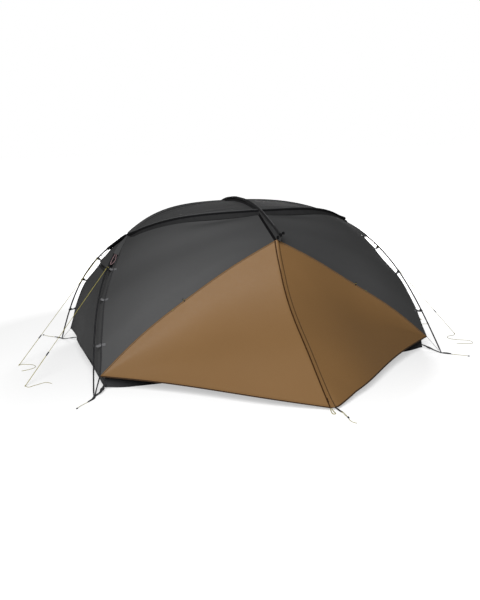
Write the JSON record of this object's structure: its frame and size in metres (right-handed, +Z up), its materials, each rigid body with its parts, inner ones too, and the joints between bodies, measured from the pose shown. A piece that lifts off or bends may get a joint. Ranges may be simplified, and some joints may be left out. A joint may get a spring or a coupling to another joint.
{
  "type": "two-person tent",
  "caption": "Low dome tent, pitched: crossing hoop poles and a brow pole carry a grey fly with brown peaked vestibules, over a tub floor, with guylines and stake-out cords.",
  "frame": {"origin": "on the ground under the middle of the tent", "axes": "+X along the tent towards its right end, +Y towards the back door, +Z up"},
  "size_m": [3.1754, 3.3668, 1.0856],
  "materials": {
    "fly_grey": "coated ripstop nylon, dark grey, satin",
    "vestibule_brown": "coated ripstop nylon, golden brown, satin",
    "sleeve_black": "plain woven nylon, black, matt",
    "tub": "heavy coated nylon, near black, low sheen",
    "webbing": "woven polyester webbing, black, matt",
    "pole": "anodised tube, dark grey, satin",
    "guy_cord": "braided polyester cord, yellow",
    "zip": "coil zip tape, dark brown"
  },
  "bodies": {
    "root": {"corner_strap_back_left": "webbing", "corner_strap_back_right": "webbing", "corner_strap_front_left": "webbing", "corner_strap_front_right": "webbing", "fly_end_left": "fly_grey", "fly_end_right": "fly_grey", "fly_roof_left": "fly_grey", "fly_roof_right": "fly_grey", "fly_side_back_left": "fly_grey", "fly_side_back_right": "fly_grey", "fly_side_front_left": "fly_grey", "fly_side_front_right": "fly_grey", "guyline_back_left": "guy_cord", "guyline_back_right": "guy_cord", "guyline_front_left": "guy_cord", "guyline_front_right": "guy_cord", "pole_back_arch": "pole", "pole_brow": "pole", "pole_front_arch": "pole", "sleeve_back_arch": "sleeve_black", "sleeve_brow": "sleeve_black", "sleeve_front_arch": "sleeve_black", "sleeve_leg_back_left": "sleeve_black", "sleeve_leg_back_right": "sleeve_black", "sleeve_leg_front_left": "sleeve_black", "sleeve_leg_front_right": "sleeve_black", "storm_flap_back": "vestibule_brown", "storm_flap_front": "vestibule_brown", "toe_strap_back": "webbing", "toe_strap_front": "webbing", "tub_floor": "tub", "vent_hood_left": "fly_grey", "vent_hood_right": "fly_grey", "vestibule_back_left": "vestibule_brown", "vestibule_back_right": "vestibule_brown", "vestibule_front_left": "vestibule_brown", "vestibule_front_right": "vestibule_brown", "webbing_back_left": "webbing", "webbing_back_right": "webbing", "webbing_front_left": "webbing", "webbing_front_right": "webbing", "zip_back": "zip", "zip_front": "zip"}
  },
  "joints": []
}
